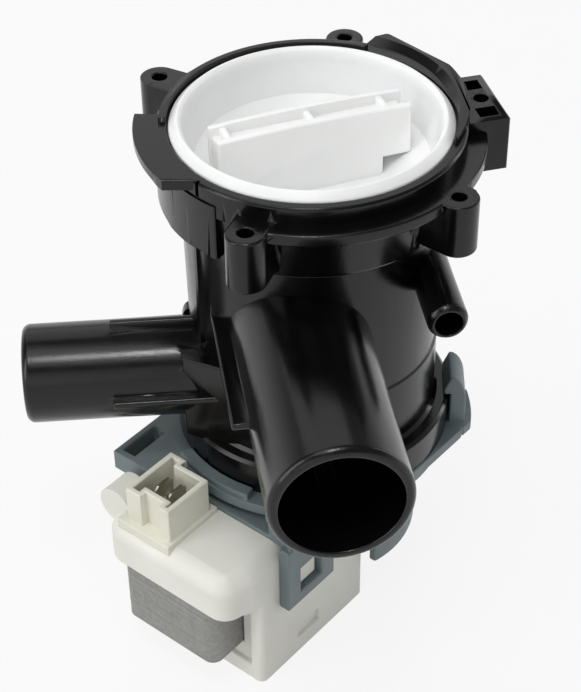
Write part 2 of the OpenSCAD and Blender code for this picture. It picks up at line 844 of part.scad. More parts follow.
module bearing_carrier() {
    color(grey) translate([0, 0, carrier_z]) difference() {
        cylinder(r = can_ir, h = carrier_h);
        translate([0, 0, -cut]) cylinder(d = bush_od, h = bush_h + cut);
        translate([0, 0, -cut]) cylinder(r = shaft_d / 2 + free_gap, h = carrier_h + 2 * cut);
        translate([0, 0, carrier_h - lip_seal_h]) cylinder(d = bush_od, h = lip_seal_h + cut);
    }
}

module bush() { ring(bush_od / 2, shaft_d / 2 + run_gap, bush_h); }

module front_bearing() { color(steel) translate([0, 0, carrier_z]) bush(); }

module rear_bearing() { color(steel) translate([0, 0, bush_z]) bush(); }

module rear_grommet() {
    color(rubber) translate([0, 0, bush_z]) ring(can_ir, bush_od / 2, bush_h);
}

module shaft_seal() {
    color(rubber) translate([0, 0, carrier_z + carrier_h - lip_seal_h])
        ring(bush_od / 2, shaft_d / 2 + run_gap, lip_seal_h);
}

module rotor_shaft() {
    color(steel) translate([0, 0, shaft_foot]) cylinder(d = shaft_d, h = shaft_top - shaft_foot);
}

module magnet_hub() {
    color(white) translate([0, 0, magnet_z])
        ring(hub_r, shaft_d / 2, carrier_z - washer_gap - washer_t - magnet_z);
}

module rotor_magnet() {
    color(rubber) translate([0, 0, magnet_z]) ring(magnet_d / 2, hub_r, magnet_h);
}

module thrust_washer() {
    color(white) translate([0, 0, carrier_z - washer_gap - washer_t])
        ring(hub_r, shaft_d / 2, washer_t);
}

// Driver on the shaft, with one dog that takes the impeller along
module drive_dog() {
    core_r = dog_r - dog_wall;
    color(white) translate([0, 0, dog_z]) {
        ring(dog_r, shaft_d / 2, dog_disc);
        ring(core_r, shaft_d / 2, dog_disc + dog_h);
        ring_sector(dog_r, core_r - dog_gap, -stop_arc / 2, stop_arc / 2, dog_disc + dog_h);
    }
}

// Impeller: straight blades on a disc, with the stop for the dog inside its hub
module impeller() {
    color(white) difference() {
        translate([0, 0, hub_z]) {
            cylinder(r = hub_or, h = hub_top - hub_z);
            cylinder(d = impeller_d, h = disc_t);
            for (i = [0 : blades - 1]) rotate([0, 0, 360 * (i + 0.5) / blades])
                translate([hub_or - sink, -blade_t / 2, 0])
                    cube([impeller_d / 2 - hub_or, blade_t, disc_t + blade_h]);
        }
        difference() {
            translate([0, 0, hub_z - cut]) cylinder(r = dog_r + dog_gap, h = hub_roof - hub_z + cut);
            translate([0, 0, hub_z]) ring_sector(hub_or - sink, dog_r - dog_wall + free_gap,
                180 - stop_arc / 2, 180 + stop_arc / 2, hub_roof - hub_z + cut);
        }
        translate([0, 0, hub_z - cut]) cylinder(r = shaft_d / 2 + run_gap, h = 2 * hub_top);
    }
}

module impeller_clip() {
    color(steel) translate([0, 0, hub_top + washer_gap])
        ring(shaft_d / 2 + clip_ring_w, shaft_d / 2, clip_ring_h);
}

// Stator core: two legs, joined by the yoke, with round poles at the rotor
module stator_core() {
    color(steel) in_motor() translate([0, 0, core_foot]) linear_extrude(core_h) difference() {
        translate([-pole_back, -core_w / 2]) round_rect(core_reach + pole_back, core_w, 3);
        circle(r = pole_r);
        translate([pole_end, -core_w / 2 + leg_w])
            square([core_reach - yoke_t - pole_end, core_w - 2 * leg_w]);
        translate([-pole_back - cut, -pole_slot / 2]) square([pole_back + cut, pole_slot]);
        translate([0, -pole_slot / 2]) square([pole_end + cut, pole_slot]);
    }
}

// One coil on its leg: a box with the leg's hole through it
module leg_box(x0, x1, grow, hole) {
    translate([x0, -leg_w / 2 - grow, core_mid - core_h / 2 - grow]) difference() {
        cube([x1 - x0, leg_w + 2 * grow, core_h + 2 * grow]);
        translate([-cut, grow - hole, grow - hole])
            cube([x1 - x0 + 2 * cut, leg_w + 2 * hole, core_h + 2 * hole]);
    }
}

module coil_bobbin(side) {
    color(white) in_motor() translate([0, side * leg_y, 0]) {
        leg_box(coil_near, coil_far, bobbin_t, fit_gap);
        for (x = [coil_near, coil_far - bobbin_t])
            leg_box(x, x + bobbin_t, bobbin_t + coil_t, fit_gap);
    }
}

module coil_winding(side) {
    color(copper) in_motor() translate([0, side * leg_y, 0])
        leg_box(coil_near + bobbin_t, coil_far - bobbin_t, bobbin_t + coil_t, bobbin_t);
}

module coil_bobbin_a() { coil_bobbin(1); }
module coil_bobbin_b() { coil_bobbin(-1); }
module coil_winding_a() { coil_winding(1); }
module coil_winding_b() { coil_winding(-1); }

// Thermal cut-out between one coil and the top of the cover
module thermal_cutout() {
    color(rubber) in_motor() translate([coil_near + cutout_inset, leg_y - cutout_w / 2, coil_top])
        cube([cutout_l, cutout_w, motor_h - cover_t - free_gap - coil_top]);
}

// Lug on one side of the motor cover, which the snap loop catches
module cover_lug(side) {
    translate([loop_near + loop_leg + free_gap, side * (cover_w / 2 + lug_t) - 2 * lug_t,
        motor_h - loop_drop + loop_bar + lug_t])
        cube([loop_w - 2 * (loop_leg + free_gap), 4 * lug_t, lug_h]);
}

// Round ear beside the connector
module roof_ear(gap = 0) {
    translate([roof_reach - ear_set - ear_l - gap, roof_shift - roof_w / 2 + ear_out, roof_top + ear_rise])
        rotate([0, 90, 0]) cylinder(r = ear_r + gap, h = ear_l + 2 * gap);
}

// Motor cover: a box over the coils, with a roof that reaches out over the stack
module motor_cover() {
    window_x = cavity_far - sink;
    color(white) in_motor() difference() {
        union() {
            translate([cover_near, -cover_w / 2, 0]) linear_extrude(motor_h)
                round_rect(cover_far - cover_near, cover_w, cover_corner);
            translate([roof_near, roof_shift - roof_w / 2, roof_z]) linear_extrude(roof_top - roof_z)
                round_rect(roof_reach - roof_near, roof_w, roof_corner);
            translate([roof_near, roof_shift - roof_w / 2, roof_z - shoulder_drop])
                linear_extrude(roof_top - roof_z + shoulder_drop)
                    round_rect(shoulder_reach - roof_near, shoulder_w, roof_corner);
            for (side = [-1, 1]) cover_lug(side);
            roof_ear();
        }
        translate([cover_near - cut, -cover_w / 2 + cover_t, cover_t])
            cube([cavity_far - cover_near + cut, cover_w - 2 * cover_t, motor_h - 2 * cover_t]);
        translate([cover_far - recess, -recess_w / 2, recess_foot])
            cube([recess + cut, recess_w, roof_z - recess_foot]);
        translate([window_x, -core_w / 2 - fit_gap, core_foot - fit_gap])
            cube([core_reach + fit_gap - window_x, core_w + 2 * fit_gap, core_h + 2 * fit_gap]);
        translate([0, 0, -cut]) cylinder(r = can_od / 2 + 4, h = motor_h + 2 * cut);
        translate([slot_near, cover_w / 2 - sink, slot_z]) cube([slot_l, 2 * sink, slot_h]);
    }
}

// Outline of the connector shell, drawn in by a distance; its ends have keyed steps
module shell_outline(i) {
    polygon([[i, i], [i, key_far - i], [key_in + i, key_far - i], [key_in + i, shell_w - i],
        [shell_l - i, shell_w - i], [shell_l - i, key_near[1] + i],
        [shell_l - key_in - i, key_near[1] + i], [shell_l - key_in - i, key_near[0] - i],
        [shell_l - i, key_near[0] - i], [shell_l - i, i]]);
}

// Connector shell on the roof, open at the top, on a low plinth
module connector_shell() {
    color(cream) in_motor() translate([shell_x, shell_y, roof_top]) {
        difference() {
            linear_extrude(shell_h) shell_outline(0);
            translate([0, 0, shell_t]) linear_extrude(shell_h) shell_outline(shell_t);
        }
        difference() {
            translate([0, -plinth_side[0], 0])
                cube([shell_l + plinth_end, shell_w + plinth_side[0] + plinth_side[1], plinth_h]);
            translate([0, 0, -cut]) linear_extrude(plinth_h + 2 * cut) shell_outline(cut);
            translate([-shell_x, -shell_y, -roof_top]) roof_ear(fit_gap);
        }
    }
}

// One terminal blade, seen from its side: bevelled at the tip, with a detent hole
module blade_side() {
    blade_l = shell_h - blade_drop;
    difference() {
        polygon([[0, 0], [0, blade_l - blade_edge], [blade_edge, blade_l],
            [blade_w - blade_edge, blade_l], [blade_w, blade_l - blade_edge], [blade_w, 0]]);
        translate([blade_w / 2, blade_l - 2 * blade_drop]) circle(d = blade_hole);
    }
}

module terminal_blades() {
    color(steel) in_motor() for (side = [-1, 1])
        translate([shell_x + (shell_l - blade_w) / 2,
            shell_y + (shell_w + side * blade_pitch + blade_thick) / 2, roof_top + shell_t])
            rotate([90, 0, 0]) linear_extrude(blade_thick) blade_side();
}

trap_housing();
trap_neck();
filter_cap();
filter_seal();
lint_strainer();
housing_gasket();
bayonet_plate();
bearing_carrier();
front_bearing();
shaft_seal();
rear_bearing();
rear_grommet();
rotor_shaft();
magnet_hub();
rotor_magnet();
thrust_washer();
drive_dog();
impeller();
impeller_clip();
stator_core();
coil_bobbin_a();
coil_bobbin_b();
coil_winding_a();
coil_winding_b();
thermal_cutout();
motor_cover();
connector_shell();
terminal_blades();
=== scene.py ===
"""Looks of a washing-machine drain pump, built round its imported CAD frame."""
import math

import bmesh
import bpy
from mathutils import Matrix, Vector
from mathutils.bvhtree import BVHTree
from mathutils.kdtree import KDTree


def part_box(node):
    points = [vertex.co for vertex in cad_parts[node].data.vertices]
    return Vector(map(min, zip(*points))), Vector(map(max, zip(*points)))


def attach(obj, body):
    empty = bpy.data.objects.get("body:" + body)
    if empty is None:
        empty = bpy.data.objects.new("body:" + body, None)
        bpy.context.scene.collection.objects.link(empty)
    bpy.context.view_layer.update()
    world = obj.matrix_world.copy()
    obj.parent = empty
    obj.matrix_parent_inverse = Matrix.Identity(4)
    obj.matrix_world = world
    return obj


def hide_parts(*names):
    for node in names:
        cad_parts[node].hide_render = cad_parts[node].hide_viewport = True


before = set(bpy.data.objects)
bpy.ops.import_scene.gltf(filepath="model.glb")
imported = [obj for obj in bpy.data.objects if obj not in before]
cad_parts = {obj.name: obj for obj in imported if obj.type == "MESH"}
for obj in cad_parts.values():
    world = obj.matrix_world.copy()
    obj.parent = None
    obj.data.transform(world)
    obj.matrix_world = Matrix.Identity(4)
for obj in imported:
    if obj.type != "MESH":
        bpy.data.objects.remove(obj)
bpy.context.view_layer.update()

# Trap housing: one moulding in satin black plastic, with the water inlet, the drain outlet and the
# vent on its body. The mould rounds every outer edge a little, and the hook ring is its foot.
MM = 0.001
PLANAR = math.radians(0.4)
SHARP = math.radians(25)
RUN_TURN = math.radians(40)
SLIGHT_TURN = math.radians(3)
UNBENT = 1.0
THIN_SHARE = 0.36
BEND_SHARE = 0.6
FACING_SHARE = 0.5
SLACK_SHARE = 0.5
SAMPLE_STEP = 0.6 * MM
WELD = 0.04 * MM
PROUD = 0.03 * MM
SPECK_AREA = 0.002 * MM * MM
TURNED_OVER = -0.1
FOLDED = 0.5
EASE_STEPS = ((0.6, 1), (0.6, 1), (0.0, 1), (0.0, 4), (0.0, 4))
EDGE_SEGMENTS = 3
NOISE_LOW, NOISE_HIGH = 0.3, 0.7
CLOUD_SCALE, POLISH_SCALE = 45, 160
SPECK_SCALE, SPECK_DETAIL = 1900, 2.0
HOUSING_EDGE = 0.6 * MM


class Joined(dict):
    """Keys joined in sets, where each set goes by the name of one of its keys."""

    def name(self, key):
        self.setdefault(key, key)
        while self[key] != key:
            self[key] = self[self[key]]
            key = self[key]
        return key

    def join(self, a, b):
        self[self.name(a)] = self.name(b)


def face_groups(shape, angle):
    """The group of each face: faces that meet at edges which bend less than the angle."""
    group = {}
    for start in shape.faces:
        stack = [] if start in group else [start]
        group.setdefault(start, start)
        while stack:
            for edge in stack.pop().edges:
                if len(edge.link_faces) == 2 and edge.calc_face_angle(0.0) < angle:
                    for other in edge.link_faces:
                        if other not in group:
                            group[other] = group[start]
                            stack.append(other)
    return group


def keep_bridges(shape):
    """Marks the triangle edges that tie the rim of a hole to another rim of the same flat face."""
    group = face_groups(shape, PLANAR)
    rims, inner = Joined(), []
    for edge in shape.edges:
        sides = {group[face] for face in edge.link_faces}
        if len(sides) == 1:
            inner.append((edge, sides.pop()))
        else:
            for side in sides:
                rims.join(*((side, vert) for vert in edge.verts))
    for edge, side in inner:
        a, b = ((side, vert) for vert in edge.verts)
        edge.seam = a in rims and b in rims and rims.name(a) != rims.name(b)


def edge_runs(outer):
    """Sharp outer edges in smooth runs, and how tightly each edge bends into the next."""
    runs, bend = Joined(), {}
    for edge in outer:
        runs.name(edge)
        for vert in edge.verts:
            along = (edge.other_vert(vert).co - vert.co).normalized()
            for other in vert.link_edges:
                if other is edge or other not in outer:
                    continue
                turn = math.pi - along.angle((other.other_vert(vert).co - vert.co).normalized(), 0.0)
                if turn < RUN_TURN:
                    runs.join(edge, other)
                if SLIGHT_TURN < turn < RUN_TURN:
                    radius = (edge.calc_length() + other.calc_length()) / 2 / turn
                    bend[edge] = min(bend.get(edge, UNBENT), radius)
    members = {}
    for edge in outer:
        members.setdefault(runs.name(edge), []).append(edge)
    return list(members.values()), bend


def run_widths(shape, wish):
    """One rounding width for each run of sharp outer edges: as wished, or less on a narrow wall."""
    patch = face_groups(shape, SHARP)
    sharp = [e for e in shape.edges if len(e.link_faces) == 2 and e.calc_face_angle(0.0) > SHARP]
    points = []
    for edge in sharp:
        a, b = (vert.co for vert in edge.verts)
        steps = max(2, math.ceil((b - a).length / SAMPLE_STEP))
        points += [(a.lerp(b, i / steps), edge) for i in range(steps + 1)]
    near = KDTree(len(points))
    for i, (point, edge) in enumerate(points):
        near.insert(point, i)
    near.balance()
    runs, bend = edge_runs(dict.fromkeys(e for e in sharp if e.is_convex))
    widths = {}
    for run in runs:
        touching = {other for edge in run for vert in edge.verts for other in vert.link_edges}
        middles = [(edge.verts[0].co + edge.verts[1].co) / 2 for edge in run]
        room = min(wish(middle) for middle in middles) / THIN_SHARE
        for edge, middle in zip(run, middles):
            along = (edge.verts[1].co - edge.verts[0].co).normalized()
            room = min(room, bend.get(edge, UNBENT) * BEND_SHARE / THIN_SHARE)
            for loop in edge.link_loops:
                inward = loop.face.normal.cross(along)
                if loop.vert is not edge.verts[0]:
                    inward.negate()
                for point, i, gap in near.find_range(middle, room):
                    ahead = (point - middle).dot(inward)
                    other = points[i][1]
                    if ahead > FACING_SHARE * gap and other not in touching and any(
                            patch[face] == patch[loop.face] for face in other.link_faces):
                        room = min(room, ahead)
        widths.update({edge.index: THIN_SHARE * room for edge in run})
    return widths, [[edge.index for edge in run] for run in runs]


def faults(piece, cad, slack):
    """Points of a rounded piece that stand off its CAD shape, and faces that are turned over."""
    evaluated = piece.evaluated_get(bpy.context.evaluated_depsgraph_get())
    mesh = evaluated.to_mesh()
    bad = []
    for vert in mesh.vertices:
        spot, normal, index, gap = cad.find_nearest(vert.co)
        if gap > slack or (vert.co - spot).dot(normal) > PROUD:
            bad.append(vert.co.copy())
    for face in mesh.polygons:
        spot, normal, index, gap = cad.find_nearest(face.center)
        if face.area > SPECK_AREA and face.normal.dot(normal) < TURNED_OVER:
            bad.append(face.center.copy())
    mesh.calc_loop_triangles()
    for part in mesh.loop_triangles:
        whole = mesh.polygons[part.polygon_index]
        if part.area > SPECK_AREA and part.normal.dot(whole.normal) < FOLDED:
            bad += [mesh.vertices[i].co.copy() for i in part.vertices]
    evaluated.to_mesh_clear()
    return bad


def eased(piece, cad, widest, runs):
    """Narrows the rounding of a piece where it goes wrong: whole runs first, then single edges."""
    mesh = piece.data
    weights = mesh.attributes["bevel_weight_edge"].data
    run_of = {i: run for run in runs for i in run}
    middles = KDTree(len(run_of))
    for i in run_of:
        a, b = (mesh.vertices[v].co for v in mesh.edges[i].vertices)
        middles.insert((a + b) / 2, i)
    middles.balance()
    for narrower, count in EASE_STEPS:
        bad = faults(piece, cad, SLACK_SHARE * widest)
        if not bad:
            return
        hit = {i for spot in bad for point, i, gap in middles.find_n(spot, count)}
        if narrower:
            hit = {i for j in hit for i in run_of[j]}
        for i in hit:
            weights[i].value *= narrower
        mesh.update()


def softened(node, edge, wish=None, levels=(), joined=None):
    """A copy of a CAD node with its outer edges rounded, less where a wall is thin.

    First, points between each low and high go to that level, and joined changes the shape.
    """
    shape = bmesh.new()
    shape.from_mesh(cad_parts[node].data)
    for low, high, level in levels:
        for vert in shape.verts:
            if low < vert.co.z < high:
                vert.co.z = level
    bmesh.ops.remove_doubles(shape, verts=shape.verts, dist=WELD)
    if joined:
        joined(shape)
    cad = BVHTree.FromBMesh(shape)
    keep_bridges(shape)
    bmesh.ops.dissolve_limit(shape, angle_limit=PLANAR, verts=shape.verts, edges=shape.edges,
                             delimit={"SEAM"})
    shape.edges.index_update()
    shape.edges.ensure_lookup_table()
    widths, runs = run_widths(shape, wish or (lambda point: edge))
    hard = [e.index for e in shape.edges if e.calc_face_angle(0.0) > SHARP]
    weight = shape.edges.layers.float.new("bevel_weight_edge")
    for i, width in widths.items():
        shape.edges[i][weight] = width / edge
    for face in shape.faces:
        face.smooth = True
    mesh = bpy.data.meshes.new(node + "_moulded")
    shape.to_mesh(mesh)
    shape.free()
    piece = bpy.data.objects.new(node + "_moulded", mesh)
    bpy.context.scene.collection.objects.link(piece)
    rounding = piece.modifiers.new("rounded edges", "BEVEL")
    rounding.limit_method = "WEIGHT"
    rounding.width = edge
    rounding.segments = EDGE_SEGMENTS
    rounding.use_clamp_overlap = False
    rounding.miter_outer = "MITER_ARC"
    if runs:
        eased(piece, cad, max(widths.values()), runs)
    weights = mesh.attributes["bevel_weight_edge"].data
    crease = mesh.attributes.new("sharp_edge", "BOOLEAN", "EDGE").data
    for i in hard:
        crease[i].value = weights[i].value == 0
    even = piece.modifiers.new("even shading", "WEIGHTED_NORMAL")
    even.keep_sharp = True
    return piece


def put_in(piece, node, body, material):
    """Stands a piece in for its CAD node, on the same body."""
    piece.data.materials.clear()
    piece.data.materials.append(material)
    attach(piece, body)
    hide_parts(node)


def tree_of(material):
    """The node tree of a material, and its shader."""
    material.use_nodes = True
    tree = material.node_tree
    return tree, tree.nodes["Principled BSDF"]


def noise(tree, scale, detail=3.0, stretch=(1, 1, 1)):
    """Noise on the piece's own coordinates, in metres."""
    place = tree.nodes.new("ShaderNodeTexCoord")
    turn = tree.nodes.new("ShaderNodeMapping")
    turn.inputs["Scale"].default_value = stretch
    grain = tree.nodes.new("ShaderNodeTexNoise")
    grain.inputs["Scale"].default_value = scale
    grain.inputs["Detail"].default_value = detail
    tree.links.new(place.outputs["Object"], turn.inputs["Vector"])
    tree.links.new(turn.outputs["Vector"], grain.inputs["Vector"])
    return grain.outputs["Fac"]


def between(tree, value, low, high):
    """Spreads a noise value over a range."""
    spread = tree.nodes.new("ShaderNodeMapRange")
    spread.inputs["From Min"].default_value = NOISE_LOW
    spread.inputs["From Max"].default_value = NOISE_HIGH
    spread.inputs["To Min"].default_value = low
    spread.inputs["To Max"].default_value = high
    tree.links.new(value, spread.inputs["Value"])
    return spread.outputs["Result"]


def two_tones(tree, value, dark, light):
    """A colour that goes from dark to light with a noise value."""
    mix = tree.nodes.new("ShaderNodeMix")
    mix.data_type = "RGBA"
    mix.inputs["A"].default_value = (*dark, 1)
    mix.inputs["B"].default_value = (*light, 1)
    tree.links.new(between(tree, value, 0, 1), mix.inputs["Factor"])
    return mix.outputs["Result"]


def relief(tree, shader, values):
    """Bump from pairs of a value and its height in metres."""
    normal = None
    for value, height in values:
        bump = tree.nodes.new("ShaderNodeBump")
        bump.inputs["Distance"].default_value = height
        tree.links.new(value, bump.inputs["Height"])
        if normal:
            tree.links.new(normal, bump.inputs["Normal"])
        normal = bump.outputs["Normal"]
    tree.links.new(normal, shader.inputs["Normal"])


def moulded_plastic(name, dark, light, rough, gloss=0.5, grain=0.02 * MM, wave=0.05 * MM):
    """Moulded plastic: a fine grain, slow waves of the wall and slight changes of tone and gloss."""
    material = bpy.data.materials.new(name)
    tree, shader = tree_of(material)
    cloud = noise(tree, CLOUD_SCALE)
    speck = noise(tree, SPECK_SCALE, SPECK_DETAIL)
    tree.links.new(two_tones(tree, cloud, dark, light), shader.inputs["Base Color"])
    tree.links.new(between(tree, noise(tree, POLISH_SCALE), *rough), shader.inputs["Roughness"])
    shader.inputs["Specular IOR Level"].default_value = gloss
    relief(tree, shader, [(cloud, wave), (speck, grain)])
    return material


housing_black = moulded_plastic("housing black", dark=(0.0020, 0.0018, 0.0018),
                                light=(0.0032, 0.0029, 0.0029), rough=(0.17, 0.23), gloss=0.4)
housing = softened("trap_housing", HOUSING_EDGE)
put_in(housing, "trap_housing", "pump", housing_black)

# Neck: the same black plastic, welded on the trap. It takes the filter cap, and its flange has the
# bosses for the machine's screws, the wing, the drip lip and the clip block.
neck = softened("trap_neck", HOUSING_EDGE)
put_in(neck, "trap_neck", "pump", housing_black)

# Gasket: a square rubber ring that seals the housing against the motor plate.
# It is pressed flat between the two when the motor is turned on to its hooks.
RUBBER_EDGE = 0.35 * MM
rubber_black = moulded_plastic("rubber black", dark=(0.012, 0.012, 0.012), light=(0.022, 0.021, 0.021),
                               rough=(0.55, 0.7))
gasket = softened("housing_gasket", RUBBER_EDGE)
put_in(gasket, "housing_gasket", "pump", rubber_black)

# Motor plate: a blue-grey moulding that closes the pump chamber. It hooks on the housing's ring, has
# snap loops for the motor cover, and carries the rotor can.
PLATE_EDGE = 0.5 * MM
plate_grey = moulded_plastic("plate grey", dark=(0.130, 0.165, 0.175), light=(0.155, 0.192, 0.200),
                             rough=(0.40, 0.52))
plate = softened("bayonet_plate", PLATE_EDGE)
put_in(plate, "bayonet_plate", "pump", plate_grey)

# Bearings of the rotor: two sintered bushes, the rear one in a rubber cup at the foot of the can, the
# front one in a pressed-in carrier behind a rubber lip seal.
BEARING_EDGE = 0.25 * MM


def bare_metal(name, dark, light, tone, rough, polish, metallic=1.0, grain=None, height=0.0):
    """Metal in two tones and a range of roughness, where tone, polish and grain are noises."""
    material = bpy.data.materials.new(name)
    tree, shader = tree_of(material)
    tree.links.new(two_tones(tree, noise(tree, *tone), dark, light), shader.inputs["Base Color"])
    shader.inputs["Metallic"].default_value = metallic
    tree.links.new(between(tree, noise(tree, *polish), *rough), shader.inputs["Roughness"])
    if grain:
        relief(tree, shader, [(noise(tree, *grain), height)])
    return material


bush_bronze = bare_metal("bush bronze", dark=(0.36, 0.24, 0.11), light=(0.58, 0.40, 0.20), tone=(900,),
                         rough=(0.38, 0.58), polish=(1500,), grain=(2600, 2.0), height=0.02 * MM)
for node, slot, material in (("bearing_carrier", "plate_grey", plate_grey),
                             ("front_bearing", "bush_bronze", bush_bronze),
                             ("shaft_seal", "rubber_black", rubber_black),
                             ("rear_bearing", "bush_bronze", bush_bronze),
                             ("rear_grommet", "rubber_black", rubber_black)):
    put_in(softened(node, BEARING_EDGE), node, "pump", material)

# Rotor: a ground steel shaft with a plastic hub, a ring of sintered ferrite, a thrust washer and the
# dog that drives the impeller.
ROTOR_EDGE = 0.25 * MM
GRINDING = (500, 4.0, (1, 1, 12))
shaft_steel = bare_metal("shaft steel", dark=(0.50, 0.50, 0.50), light=(0.64, 0.64, 0.63), tone=(300,),
                         rough=(0.18, 0.3), polish=GRINDING, grain=GRINDING, height=0.004 * MM)
magnet_dark = moulded_plastic("magnet dark", dark=(0.035, 0.035, 0.038), light=(0.065, 0.065, 0.07),
                              rough=(0.42, 0.6), grain=0.03 * MM)
inner_white = moulded_plastic("inner white", dark=(0.72, 0.72, 0.69), light=(0.80, 0.80, 0.78),
                              rough=(0.38, 0.5))
for node, slot, material in (("rotor_shaft", "shaft_steel", shaft_steel),
                             ("magnet_hub", "inner_white", inner_white),
                             ("rotor_magnet", "magnet_dark", magnet_dark),
                             ("thrust_washer", "inner_white", inner_white),
                             ("drive_dog", "inner_white", inner_white),
                             ("impeller_clip", "shaft_steel", shaft_steel)):
    put_in(softened(node, ROTOR_EDGE), node, "rotor", material)

# Impeller: six straight blades on a disc, moulded in white plastic. It turns a little on the shaft
# before the dog takes it along.
IMPELLER_EDGE = 0.3 * MM
impeller = softened("impeller", IMPELLER_EDGE)
put_in(impeller, "impeller", "impeller", inner_white)

# Stator core: a stack of stamped steel sheets, bare to the air where it stands out of the cover.
# The sheets lie flat on each other and are never quite flush at their edges.
SHEET_PITCH = 0.5 * MM
SHEET_THICKNESS = 0.475 * MM
SHEET_SHIFT = 0.025 * MM
SHEET_SEED = 7
UNDERSIDE = -0.99
core_steel = bare_metal("core steel", dark=(0.27, 0.268, 0.256), light=(0.33, 0.327, 0.313),
                        tone=(700, 4.0), rough=(0.42, 0.58), polish=(1100,), metallic=0.6,
                        grain=(2400, 3.0), height=0.008 * MM)


def node_group(name, sizes):
    """An empty Geometry Nodes tree with one named input for each size."""
    group = bpy.data.node_groups.new(name, "GeometryNodeTree")
    group.interface.new_socket("Geometry", in_out="INPUT", socket_type="NodeSocketGeometry")
    sockets = {size: group.interface.new_socket(size, in_out="INPUT", socket_type=kind)
               for size, kind in sizes.items()}
    group.interface.new_socket("Geometry", in_out="OUTPUT", socket_type="NodeSocketGeometry")
    return group, sockets, group.nodes.new("NodeGroupInput"), group.nodes.new("NodeGroupOutput")


def grown(piece, group, values):
    """Runs a Geometry Nodes tree on a piece and keeps the result as its plain mesh."""
    modifier = piece.modifiers.new(group.name, "NODES")
    modifier.node_group = group
    for socket, value in values:
        modifier[socket.identifier] = value
    graph = bpy.context.evaluated_depsgraph_get()
    mesh = bpy.data.meshes.new_from_object(piece.evaluated_get(graph))
    piece.modifiers.remove(modifier)
    old, piece.data = piece.data, mesh
    mesh.name = piece.name
    bpy.data.meshes.remove(old)


def stamped_sheet(node, name):
    """One sheet of the stack: the outline of the CAD core's underside, pulled up to its thickness."""
    shape = bmesh.new()
    shape.from_mesh(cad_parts[node].data)
    bmesh.ops.remove_doubles(shape, verts=shape.verts, dist=WELD)
    underside = [face for face in shape.faces if face.normal.z < UNDERSIDE]
    bmesh.ops.delete(shape, geom=[f for f in shape.faces if f not in set(underside)], context="FACES")
    pulled = bmesh.ops.extrude_face_region(shape, geom=shape.faces[:], use_keep_orig=True)["geom"]
    bmesh.ops.translate(shape, verts=[part for part in pulled if isinstance(part, bmesh.types.BMVert)],
                        vec=(0, 0, SHEET_THICKNESS))
    bmesh.ops.recalc_face_normals(shape, faces=shape.faces)
    mesh = bpy.data.meshes.new(name)
    shape.to_mesh(mesh)
    shape.free()
    piece = bpy.data.objects.new(name, mesh)
    bpy.context.scene.collection.objects.link(piece)
    return piece


core_low, core_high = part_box("stator_core")
core = stamped_sheet("stator_core", "stator_core_stack")
stack, sizes, sheet, outcome = node_group("sheet stack", {
    "Sheets": "NodeSocketInt", "Pitch": "NodeSocketFloat", "Shift": "NodeSocketFloat",
    "Seed": "NodeSocketInt", "Steel": "NodeSocketMaterial"})
rise = stack.nodes.new("ShaderNodeCombineXYZ")
column = stack.nodes.new("GeometryNodeMeshLine")
place = stack.nodes.new("GeometryNodeInstanceOnPoints")
spread = stack.nodes.new("ShaderNodeCombineXYZ")
lower = stack.nodes.new("ShaderNodeVectorMath")
lower.operation = "SCALE"
lower.inputs["Scale"].default_value = -1.0
chance = stack.nodes.new("FunctionNodeRandomValue")
chance.data_type = "FLOAT_VECTOR"
nudge = stack.nodes.new("GeometryNodeTranslateInstances")
solid = stack.nodes.new("GeometryNodeRealizeInstances")
coat = stack.nodes.new("GeometryNodeSetMaterial")
for start, end in ((sheet.outputs["Pitch"], rise.inputs["Z"]),
                   (sheet.outputs["Sheets"], column.inputs["Count"]),
                   (rise.outputs["Vector"], column.inputs["Offset"]),
                   (column.outputs["Mesh"], place.inputs["Points"]),
                   (sheet.outputs["Geometry"], place.inputs["Instance"]),
                   (sheet.outputs["Shift"], spread.inputs["X"]),
                   (sheet.outputs["Shift"], spread.inputs["Y"]),
                   (spread.outputs["Vector"], lower.inputs[0]),
                   (lower.outputs["Vector"], chance.inputs["Min"]),
                   (spread.outputs["Vector"], chance.inputs["Max"]),
                   (sheet.outputs["Seed"], chance.inputs["Seed"]),
                   (place.outputs["Instances"], nudge.inputs["Instances"]),
                   (chance.outputs["Value"], nudge.inputs["Translation"]),
                   (nudge.outputs["Instances"], solid.inputs["Geometry"]),
                   (solid.outputs["Geometry"], coat.inputs["Geometry"]),
                   (sheet.outputs["Steel"], coat.inputs["Material"]),
                   (coat.outputs["Geometry"], outcome.inputs["Geometry"])):
    stack.links.new(start, end)
grown(core, stack, [(sizes["Sheets"], round((core_high[2] - core_low[2]) / SHEET_PITCH)),
                    (sizes["Pitch"], SHEET_PITCH), (sizes["Shift"], SHEET_SHIFT),
                    (sizes["Seed"], SHEET_SEED), (sizes["Steel"], core_steel)])
put_in(core, "stator_core", "pump", core_steel)

# Coils: enamelled copper wire on white plastic bobbins, with a thermal cut-out clipped on top.
# They sit on the legs of the core, inside the motor cover.
COIL_EDGE = 0.3 * MM
winding_copper = bare_metal("winding copper", dark=(0.36, 0.13, 0.05), light=(0.52, 0.21, 0.08),
                            tone=(800,), rough=(0.25, 0.4), polish=(1200,), metallic=0.9)
cutout_black = moulded_plastic("cut-out black", dark=(0.014, 0.014, 0.014), light=(0.024, 0.024, 0.024),
                               rough=(0.4, 0.5))
for node, slot, material in (("coil_bobbin_a", "inner_white", inner_white),
                             ("coil_bobbin_b", "inner_white", inner_white),
                             ("coil_winding_a", "winding_copper", winding_copper),
                             ("coil_winding_b", "winding_copper", winding_copper),
                             ("thermal_cutout", "cutout_black", cutout_black)):
    put_in(softened(node, COIL_EDGE), node, "pump", material)

